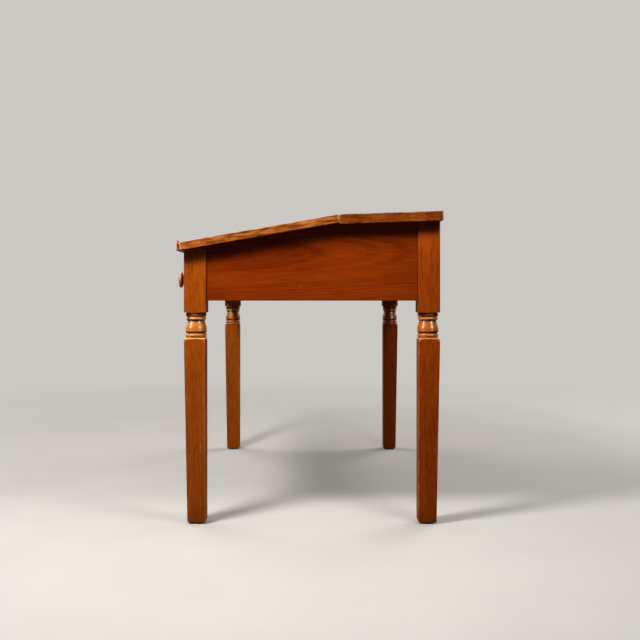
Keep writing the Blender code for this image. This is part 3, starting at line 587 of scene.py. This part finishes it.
legs = {
    "taper": 0.009, "blockBottom": 0.608, "turnedLength": 0.076, "arris": 0.0007, "segments": 128,
    "footRound": 0.0016, "relief": 0.0023, "rim": 0.0025, "ease": 0.006, "slopeStart": 0.70,
    "archShare": 1.115, "archHeight": 0.13, "archInner": 0.93, "archOuter": 1.03, "archRings": 18,
    "topInset": 0.0006, "topRound": 0.0008, "blockLevels": (0.78, 0.70, 0.64), "blockLast": -0.02,
    "footStart": 1.14, "footLevels": (0.50, 0.42, 0.34, 0.26, 0.18, 0.10, 0.05),
    # lightness of each leg, set partly for how the lamps reach it: painted light on the front legs, painted
    # shade on the back legs
    "tones": {
        "leg_front_left": 0.06, "leg_front_right": 0.04,
        "leg_back_left": -0.10, "leg_back_right": -0.08,
    },
    # share of the pale lathe colour on each turning; the two left legs take little of it as painted shade
    "bare": {
        "leg_front_left": 0.25, "leg_front_right": 0.85,
        "leg_back_left": 0.20, "leg_back_right": 0.50,
    },
    "stains": {"leg_back_left": (1.0, 0.86, 0.7), "leg_back_right": (1.0, 0.84, 0.7)},
}
# radii in half leg widths, levels in turned lengths below the block; a mark above 0 pales the wood (wear,
# with painted highlight on the beads), below 0 darkens it as painted shade (under the block, in the grooves,
# under the bulb)
turning = {
    # the cone under the block darkens as painted shade
    "underside": {
        "out": 1.47, "inward": 0.59, "start": -0.0006, "drop": 0.0226, "curve": 0.6, "rings": 10, "rub": -0.8,
    },
    "bulb": {
        "neck": 0.79, "swell": 0.18, "curve": 1.5, "start": 0.345, "drop": 0.33, "part": 0.8,
        "rings": 15, "rub": 0.5, "endDark": -0.07,
    },
    "beads": {  # radius, level, bulge, height, sweep and rings, then a mark that pales above 0 (wear and painted highlight) and darkens below 0 (painted shade)
        # the upper bead under the block darkens as painted shade; the lower bead and ring pale with wear and
        # painted highlight
        "upper": (0.865, 0.10, 0.075, 0.062, (80, -75, 13), -0.45),
        "lower": (0.84, 0.238, 0.075, 0.052, (75, -80, 13), 1.1),
        "bulbEnd": (0.88, 0.71, 0.09, 0.070, (25, -75, 12), 0.0),
        "ring": (0.885, 0.87, 0.075, 0.062, (75, -60, 12), 0.9),
    },
    "grooves": {  # radius, level, darkening by old polish and painted shade
        "upper": (0.85, 0.170, -1.0),
        "lower": (0.77, 0.315, -1.0),
        "bulb": (0.83, 0.792, -1.0),
        "shoulder": (0.92, 0.960, -0.5),
    },
}


def archOf(half):
    return half * legs["archInner"], half * (math.sqrt(2) * legs["archOuter"] - legs["archInner"])


def legRings(top, foot, half):
    length = legs["turnedLength"]
    clear = half * 2.0

    def level(share):
        return legs["blockBottom"] - share * length

    def plain(levels, inset=0.0):
        return [(clear, inset, z, 0.0) for z in levels]

    def bead(name):
        radius, share, bulge, height, sweep, rub = turning["beads"][name]
        return arc(half * radius, level(share), half * bulge, length * height, *sweep, rub)

    def groove(name):
        radius, share, rub = turning["grooves"][name]
        return [(half * radius, 0.0, level(share), rub)]

    rings = [(0.0, 0.0, top, 0.0), *plain((top,), legs["topInset"]), *plain((top - legs["topRound"],))]
    rings += plain((*legs["blockLevels"], level(legs["blockLast"])))
    under = turning["underside"]
    for step in range(under["rings"]):
        share = step / (under["rings"] - 1)
        drop = level(under["start"] + under["drop"] * share ** under["curve"])
        rings.append((half * (under["out"] - under["inward"] * share), 0.0, drop, under["rub"] * share))
    rings += bead("upper") + groove("upper") + bead("lower") + groove("lower")
    bulb = turning["bulb"]
    for step in range(bulb["rings"]):
        share = bulb["part"] * step / (bulb["rings"] - 1)
        swell = half * (bulb["neck"] + bulb["swell"] * math.sin(math.pi / 2 * share) ** bulb["curve"])
        rings.append((swell, 0.0, level(bulb["start"] + bulb["drop"] * share), bulb["rub"] * share))
    # painted shade: the rounded end of the bulb darkens step by step towards its underside
    for step, ring in enumerate(bead("bulbEnd")):
        rings.append((*ring[:3], bulb["endDark"] * step))
    rings += groove("bulb") + bead("ring") + groove("shoulder")
    archStart, archReach = archOf(half)
    for step in range(legs["archRings"]):
        turn = math.pi / 2 * (1 - step / (legs["archRings"] - 1))
        out = max(math.cos(turn), 0.0) ** (2 / lathe["bow"])
        up = math.sin(turn) ** (2 / lathe["bow"])
        height = level(legs["archShare"] - legs["archHeight"] * up)
        rings.append((archStart + archReach * out, 0.0, height, 0.0))
    rings += plain((level(legs["footStart"]), *legs["footLevels"]))
    soft = legs["footRound"]
    for turn in (0.0, 0.5, 1.0, 1.4):
        rings += plain((foot + soft * (1 - math.sin(turn)),), soft * (1 - math.cos(turn)))
    return rings + [(clear, soft, foot, 0.0), (0.0, 0.0, foot, 0.0)]


for seed, (node, tone) in enumerate(legs["tones"].items()):
    low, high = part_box(node)
    middle = (low + high) / 2
    halfLeg = (high.x - low.x) / 2
    slope = math.tan(lidSlope if middle.y < 0 else shelfSlope)
    top = high.z - slope * halfLeg
    wood = {"tone": tone, "turned": legs["bare"][node], "stain": legs["stains"].get(node, (1.0, 1.0, 1.0))}
    material = woodMaterial(f"{node}_stain", "leg_wood", lieOf(node, "z"), seed * 3.7 + 1.3, **wood)
    archStart, archReach = archOf(halfLeg)
    mesh = turnPiece(legRings(top, low.z, halfLeg), material, {
        "Segments": legs["segments"],
        "Half Width": halfLeg, "Foot Half Width": halfLeg - legs["taper"] / 2,
        "Lean X": -math.copysign(legs["taper"] / 2, middle.x),
        "Lean Y": -math.copysign(legs["taper"] / 2, middle.y),
        "Shoulder": legs["blockBottom"] - legs["turnedLength"], "Foot": low.z, "Arris": legs["arris"],
        "Relief": legs["relief"], "Relief X": math.copysign(legs["relief"] / 2, middle.x),
        "Relief Y": math.copysign(legs["relief"] / 2, middle.y),
        "Arch Level": legs["blockBottom"] - legs["archShare"] * legs["turnedLength"],
        "Arch Height": legs["archHeight"] * legs["turnedLength"],
        "Arch Start": archStart, "Arch Reach": archReach,
        "Rim": legs["rim"], "Ease": legs["ease"],
        "Top Slope": slope, "Slope Start": legs["slopeStart"], "Top": top,
    })
    mesh.transform(Matrix.Translation((middle.x, middle.y, 0.0)))
    addPiece(f"{node}_turned", mesh, bodyOf(node), "leg_wood", node)
print("legs turned")


# foot pads

pads = {"radius": 0.022, "height": 0.005, "round": 0.0012, "segments": 64}
padBow = pads["radius"] - pads["round"]
padRings = [(0.0, 0.0, pads["height"], 0.0)]
padRings += arc(padBow, pads["height"] - pads["round"], pads["round"], pads["round"], 90, 0, 4)
padRings += arc(padBow, pads["round"], pads["round"], pads["round"], 0, -90, 4)
padRings.append((0.0, 0.0, 0.0, 0.0))
roundOnly = {
    "Half Width": 1.0, "Foot Half Width": 1.0, "Shoulder": -1.0, "Foot": -2.0, "Arris": 0.001,
    "Arch Level": -9.0, "Arch Reach": 1.0, "Rim": 0.001, "Slope Start": 8.0, "Top": 9.0,
}
padRubber = rubberMaterial("pad_rubber", (0.0, 0.0, 0.0))
for node in ("foot_pad_front_left", "foot_pad_front_right", "foot_pad_back_left", "foot_pad_back_right"):
    low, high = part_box(node)
    mesh = turnPiece(padRings, padRubber, {"Segments": pads["segments"], **roundOnly})
    mesh.transform(Matrix.Translation(((low.x + high.x) / 2, (low.y + high.y) / 2, 0.0)))
    addPiece(f"{node}_moulded", mesh, bodyOf(node), "pad_rubber", node)
print("pads placed")


# knobs

knobs = {
    "radius": 0.024, "length": 0.038, "dome": 0.002, "rim": 0.005, "waist": 0.010, "waistShare": 0.45,
    "flare": 55, "lift": 0.0003, "spigot": 0.006, "depth": 0.016, "segments": 72, "bare": 0.85,
    # painted shade: the waist and flare under the knob's head are darkened
    "faceRub": 0.2, "rimRub": 0.8, "waistRub": -0.7, "footRub": -0.5, "jointRub": -1.0,
}


def knobRings():
    length, rim, spigot = knobs["length"], knobs["rim"], knobs["spigot"]
    bow = knobs["radius"] - rim
    hollow = bow - knobs["waist"]
    rimLevel = length - knobs["dome"] - rim
    waistLevel = length * knobs["waistShare"]
    footFall = (waistLevel - knobs["lift"]) / math.sin(math.radians(knobs["flare"]))
    face = [step / 8 for step in range(8)]
    rings = [(bow * share, 0.0, length - knobs["dome"] * share * share, knobs["faceRub"]) for share in face]
    rings += arc(bow, rimLevel, rim, rim, 88, -80, 14, knobs["rimRub"])
    rings += arc(bow, waistLevel, hollow, rimLevel - rim - waistLevel, 90, 180, 14, knobs["waistRub"])
    rings += arc(bow, waistLevel, hollow, footFall, 186, 180 + knobs["flare"], 9, knobs["footRub"])
    rings += [(spigot, 0.0, knobs["lift"], knobs["jointRub"]), (spigot, 0.0, -knobs["depth"], 0.0)]
    return rings + [(0.0, 0.0, -knobs["depth"], 0.0)]


knobNodes = [f"drawer_{side}_{which}_knob" for side in ("left", "right") for which in ("inner", "outer")]
for seed, node in enumerate(knobNodes):
    low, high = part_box(node)
    face = low.y + knobs["length"]
    lie = lieOf(node, "y")
    material = woodMaterial(f"{node}_stain", "knob_wood", lie, seed * 5.3 + 40.7, turned=knobs["bare"])
    mesh = turnPiece(knobRings(), material, {"Segments": knobs["segments"], **roundOnly})
    mesh.transform(Matrix.Rotation(math.pi / 2, 4, "X"))
    mesh.transform(Matrix.Translation(((low.x + high.x) / 2, face, (low.z + high.z) / 2)))
    addPiece(f"{node}_turned", mesh, bodyOf(node), "drawer_wood", node)
print("knobs turned")


# boards: the CAD's own outline, with rubbed arrises

arrises = {
    "segments": 3, "profile": 0.5, "least": 6, "weld": 1e-6,
    "sharp": math.radians(35), "flat": math.radians(0.5),
}
slots = {"clamp_wood": "top_wood"}  # finishes that share another's slot


def roundBoard(node, radius):
    mesh = nodes[node].data.copy()
    work = bmesh.new()
    work.from_mesh(mesh)
    bmesh.ops.remove_doubles(work, verts=work.verts, dist=arrises["weld"])
    bmesh.ops.dissolve_limit(work, angle_limit=arrises["flat"], verts=work.verts, edges=work.edges)
    sharp = [
        edge for edge in work.edges
        if len(edge.link_faces) == 2 and edge.is_convex
        and edge.calc_face_angle() > arrises["sharp"] and edge.calc_length() > radius * arrises["least"]
    ]
    bmesh.ops.bevel(
        work, geom=sharp, offset=radius, offset_type="OFFSET", segments=arrises["segments"],
        profile=arrises["profile"], affect="EDGES", clamp_overlap=True,
    )
    for face in work.faces:
        face.smooth = True
    work.to_mesh(mesh)
    work.free()
    mesh.materials.clear()
    return mesh


def addBoard(node, finish, grain, radius, seed, plank=0.0):
    mesh = roundBoard(node, radius)
    rubs = rubbedEnds.get(node, ())
    wood = woodMaterial(f"{node}_stain", finish, lieOf(node, grain), seed, plank=plank, rubs=rubs)
    mesh.materials.append(wood)
    piece = addPiece(f"{node}_board", mesh, bodyOf(node), slots.get(finish, finish), node)
    even = piece.modifiers.new("even normals", "WEIGHTED_NORMAL")
    even.keep_sharp = True


rubbedEnds = {  # local axis, side, width, amount
    "lid_clamp_left": [(0, 1, 0.006, 0.9), (0, -1, 0.008, 0.6)],
    "lid_clamp_right": [(0, 1, 0.006, 0.9), (0, -1, 0.008, 0.6)],
    "lid_panel": [(1, 1, 0.004, 0.5), (1, -1, 0.010, 0.5)],
    "rear_shelf": [(1, -1, 0.004, 0.5), (1, 1, 0.005, 0.2)],
    "lid_lip": [(2, 1, 0.006, 0.8), (0, 1, 0.004, 0.3), (0, -1, 0.004, 0.3)],
}
boards = {  # finish, grain, arris radius, plank width
    "end_apron_left": ("case_wood", "y", 0.0012, 0.0),
    "end_apron_right": ("case_wood", "y", 0.0012, 0.0),
    "back_panel": ("case_wood", "x", 0.0012, 0.0),
    "drawer_rail_lower": ("case_wood", "x", 0.0012, 0.0),
    "drawer_rail_upper": ("case_wood", "x", 0.0012, 0.0),
    "drawer_stile": ("case_wood", "z", 0.0010, 0.0),
    "rear_shelf": ("top_wood", "shelf", 0.0018, 0.155),
    "lid_panel": ("top_wood", "lid", 0.0016, 0.128),
    "lid_clamp_left": ("clamp_wood", "clamp", 0.0018, 0.0),
    "lid_clamp_right": ("clamp_wood", "clamp", 0.0018, 0.0),
    "lid_lip": ("top_wood", "lid", 0.0010, 0.0),
    "drawer_left_front": ("drawer_wood", "x", 0.0012, 0.0),
    "drawer_right_front": ("drawer_wood", "x", 0.0012, 0.0),
    "shelf_bearer": ("inner_wood", "x", 0.0010, 0.0),
    "well_floor": ("inner_wood", "x", 0.0006, 0.170),
}
for side in ("left", "right"):
    for wall in ("inner_side", "outer_side"):
        boards[f"drawer_{side}_{wall}"] = ("inner_wood", "y", 0.0007, 0.0)
    boards[f"drawer_{side}_back"] = ("inner_wood", "x", 0.0007, 0.0)
    boards[f"drawer_{side}_bottom"] = ("inner_wood", "x", 0.0005, 0.180)
for place in ("left", "middle", "right"):
    boards[f"drawer_runner_{place}"] = ("inner_wood", "y", 0.0010, 0.0)
    boards[f"drawer_kicker_{place}"] = ("inner_wood", "y", 0.0010, 0.0)
    boards[f"glue_block_{place}"] = ("inner_wood", "x", 0.0010, 0.0)
seeds = {"end_apron_right": 44.0}  # the others' seeds follow from their order
for seed, (node, (finish, grain, radius, plank)) in enumerate(boards.items()):
    addBoard(node, finish, grain, radius, seeds.get(node, seed * 2.9 + 7.1), plank)
print("boards rounded:", len(boards))


# heads of screws and brads, set on points

headShape = {"sides": 20, "taper": 0.82, "slotReach": 3.0, "slotDepth": 0.9}
headsTree, ask = newTree("fastener heads", {
    "Geometry": "Geometry", "Head Radius": "Float", "Head Height": "Float", "Slot Width": "Float",
    "Slotted": "Bool", "Turn": "Vector", "Seed": "Int", "Material": "Material",
})
start = Wire(headsTree)
head = start.node("GeometryNodeMeshCone", {}, {
    "Vertices": headShape["sides"], "Radius Top": ask["Head Radius"] * headShape["taper"],
    "Radius Bottom": ask["Head Radius"], "Depth": ask["Head Height"],
}, "Mesh")
slotSize = start.node("ShaderNodeCombineXYZ", {}, {
    0: ask["Head Radius"] * headShape["slotReach"], 1: ask["Slot Width"],
    2: ask["Head Height"] * headShape["slotDepth"],
})
slotPlace = start.node("ShaderNodeCombineXYZ", {}, {2: ask["Head Height"]})
slot = start.node("GeometryNodeMeshCube", {}, {"Size": slotSize}, "Mesh")
slot = start.node("GeometryNodeTransform", {}, {"Geometry": slot, "Translation": slotPlace})
slotted = start.node("GeometryNodeMeshBoolean", {"operation": "DIFFERENCE"}, {
    "Mesh 1": head, "Mesh 2": slot,
}, "Mesh")
head = start.node("GeometryNodeSwitch", {"input_type": "GEOMETRY"}, {
    "Switch": ask["Slotted"], "False": head, "True": slotted,
})
heads = start.node("GeometryNodeInstanceOnPoints", {}, {
    "Points": ask["Geometry"], "Instance": head, "Rotation": ask["Turn"],
})
spin = start.node("FunctionNodeRandomValue", {"data_type": "FLOAT"}, {
    "Min": 0.0, "Max": math.pi, "Seed": ask["Seed"],
}, "Value")
spin = start.node("ShaderNodeCombineXYZ", {}, {2: spin})
heads = start.node("GeometryNodeRotateInstances", {}, {
    "Instances": heads, "Rotation": spin, "Local Space": True,
})
endTree(headsTree, heads, ask["Material"])


def setHeads(name, spots, body, material, values):
    mesh = bpy.data.meshes.new("spots")
    mesh.from_pydata(spots, [], [])
    made = runTree(headsTree, {"Material": material, **values}, mesh)
    addPiece(name, made, body, "hinge_brass")


# hinges, with three screws in each leaf

hinges = {
    "seam": math.radians(5.9), "clearance": 0.00025, "screwDrop": 0.0115, "screwPitch": 0.019,
    "headRadius": 0.0025, "headHeight": 0.0006, "proud": 0.00012, "slotWidth": 0.0007,
}
hingeBrass = brassMaterial("hinge_brass", (1.0, 4.0, 2.0))
screwSpots = {"frame": [], "lid": []}
for place in ("left", "middle", "right"):
    for leaf in ("fixed_leaf", "lid_leaf", "pin"):
        for slot in nodes[f"hinge_{place}_{leaf}"].material_slots:
            slot.link = "OBJECT"
            slot.material = hingeBrass
    low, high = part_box(f"hinge_{place}_pin")
    onPin = Matrix.Translation((low + high) / 2) @ Matrix.Rotation(hinges["seam"], 4, "X")
    sunk = hinges["clearance"] + hinges["headHeight"] / 2 - hinges["proud"]
    for body, side in (("frame", 1), ("lid", -1)):
        for step in (-1, 0, 1):
            spot = Vector((step * hinges["screwPitch"], side * sunk, -hinges["screwDrop"]))
            screwSpots[body].append(onPin @ spot)
for seed, (body, side) in enumerate((("frame", 1), ("lid", -1))):
    setHeads(f"hinge_screws_{body}", screwSpots[body], body, hingeBrass, {
        "Head Radius": hinges["headRadius"], "Head Height": hinges["headHeight"],
        "Slot Width": hinges["slotWidth"], "Slotted": True, "Seed": seed + 3,
        "Turn": (side * math.pi / 2 + hinges["seam"], 0.0, 0.0),
    })
print("hinges dressed")


# brads along the lip

brads = {
    "count": 9, "inset": 0.05, "rise": 0.011, "headRadius": 0.0013, "headHeight": 0.0008, "proud": 0.00015,
}
low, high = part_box("lid_lip")
stretch = (high.x - low.x - 2 * brads["inset"]) / (brads["count"] - 1)
sunk = low.y + brads["headHeight"] / 2 - brads["proud"]
first = low.x + brads["inset"]
bradSpots = [(first + i * stretch, sunk, low.z + brads["rise"]) for i in range(brads["count"])]
setHeads("lip_brads", bradSpots, "lid", hingeBrass, {
    "Head Radius": brads["headRadius"], "Head Height": brads["headHeight"],
    "Slotted": False, "Seed": 9, "Turn": (math.pi / 2, 0.0, 0.0),
})
print("brads set")


# floor, light and camera

studio = {
    "floor": (0.54, 0.515, 0.475), "back": (0.60, 0.58, 0.55), "ambient": 0.03, "bounce": 0.085,
    "floorRadius": 60.0, "floorSides": 96, "floorRough": 0.75, "floorShine": 0.1,
    "mottle": 3.0, "mottleDark": 0.95, "clearRadius": 1.3, "farRadius": 3.8, "shine": (1.0, 0.82, 0.60),
}
lamps = {  # place, target, size, power, shine only
    "left softbox": ((1.42, -0.98, 2.06), (0.66, -0.10, 0.70), (0.45, 0.45), 57.0, False),
    "right softbox": ((1.27, 0.75, 1.80), (0.66, 0.10, 0.70), (0.40, 0.45), 12.0, False),
    "left strip": ((2.24, -2.94, 2.09), (0.66, 0.0, 0.57), (0.60, 0.62), 290.0, True),
    "right strip": ((3.30, 2.90, 2.10), (0.66, 0.0, 0.57), (0.60, 0.62), 360.0, True),
    "overhead": ((-0.4, 0.0, 3.6), (0.0, 0.0, 0.6), (2.4, 2.4), 22.0, False),
    "far front fill": ((-2.4, -2.6, 2.6), (-0.3, 0.0, 0.5), (2.6, 2.6), 75.0, False),
    "far back fill": ((-2.4, 2.6, 2.6), (-0.3, 0.0, 0.5), (2.6, 2.6), 100.0, False),
}
for name, (place, target, size, power, shineOnly) in lamps.items():
    light = bpy.data.lights.new(name, "AREA")
    light.shape = "RECTANGLE"
    light.size, light.size_y = size
    light.energy = power
    if shineOnly:  # shows in the varnish and lights nothing else
        light.color = studio["shine"]
    hung = bpy.data.objects.new(name, light)
    hung.location = place
    hung.rotation_euler = (Vector(target) - Vector(place)).to_track_quat("-Z", "Y").to_euler()
    hung.visible_camera = False
    hung.visible_diffuse = not shineOnly
    scene.collection.objects.link(hung)

floorMesh = bpy.data.meshes.new("floor")
work = bmesh.new()
bmesh.ops.create_circle(work, cap_ends=True, segments=studio["floorSides"], radius=studio["floorRadius"])
work.to_mesh(floorMesh)
work.free()
floor = bpy.data.objects.new("floor", floorMesh)
scene.collection.objects.link(floor)
made, surface, start = newMaterial("studio floor")
spot = start.node("ShaderNodeTexCoord", {}, {}, "Object")
mottle = spot.noise([studio["mottle"]] * 3, (0.0, 0.0, 0.0), 4.0)
shaded = tuple(part * studio["mottleDark"] for part in studio["floor"])
paint = mottle.ramp([(0.3, shaded), (0.7, studio["floor"])])


def seenRays(wire):  # camera, mirror and glass rays see the pale stage, soft bounces see a darker one
    path = wire.node("ShaderNodeLightPath", {}, {}, "Is Camera Ray").socket.node.outputs
    rays = [Wire(wire.tree, path[name]) for name in ("Is Camera Ray", "Is Glossy Ray", "Is Transmission Ray")]
    return (rays[0] + rays[1] + rays[2]).clip()


def grey(value):
    return (value, value, value, 1.0)


def mixBySight(wire, seen, unseenColour, seenColour):
    kind = {"data_type": "RGBA"}
    return wire.node("ShaderNodeMix", kind, {"Factor": seen, "A": unseenColour, "B": seenColour})


backColour = (*studio["back"], 1.0)
seen = seenRays(start)
feed(surface, colour=mixBySight(start, seen, grey(studio["bounce"]), paint))
surface.inputs["Roughness"].default_value = studio["floorRough"]
surface.inputs["Specular IOR Level"].default_value = studio["floorShine"]
across, deep = spot.split()[:2]
away = ((across * across + deep * deep) ** 0.5).smooth(studio["clearRadius"], studio["farRadius"])
haze = mixBySight(start, seen, grey(studio["ambient"]), backColour)
glow = start.node("ShaderNodeEmission", {}, {"Color": haze})
solid = Wire(made.node_tree, surface.outputs[0])
blend = start.node("ShaderNodeMixShader", {}, {0: away, 1: solid, 2: glow})
made.node_tree.links.new(blend.socket, made.node_tree.nodes["Material Output"].inputs["Surface"])
floorMesh.materials.append(made)

world = scene.world or bpy.data.worlds.new("studio")
scene.world = world
world.use_nodes = True
sky = Wire(world.node_tree)
ambient = mixBySight(sky, seenRays(sky), grey(studio["ambient"]), backColour)
backdrop = world.node_tree.nodes["Background"]
world.node_tree.links.new(ambient.socket, backdrop.inputs["Color"])

camera = {"place": (3.261, 0.0094, 0.663), "lens": 51.2, "sensor": 36.0, "shift": (0.0156, -0.0422)}
lens = bpy.data.cameras.new("camera")
lens.lens = camera["lens"]
lens.sensor_width = camera["sensor"]
lens.shift_x, lens.shift_y = camera["shift"]
eye = bpy.data.objects.new("camera", lens)
eye.location = camera["place"]
eye.rotation_euler = (math.pi / 2, 0.0, math.pi / 2)
scene.collection.objects.link(eye)
scene.camera = eye
scene.view_settings.view_transform = "Standard"
print("stage set")
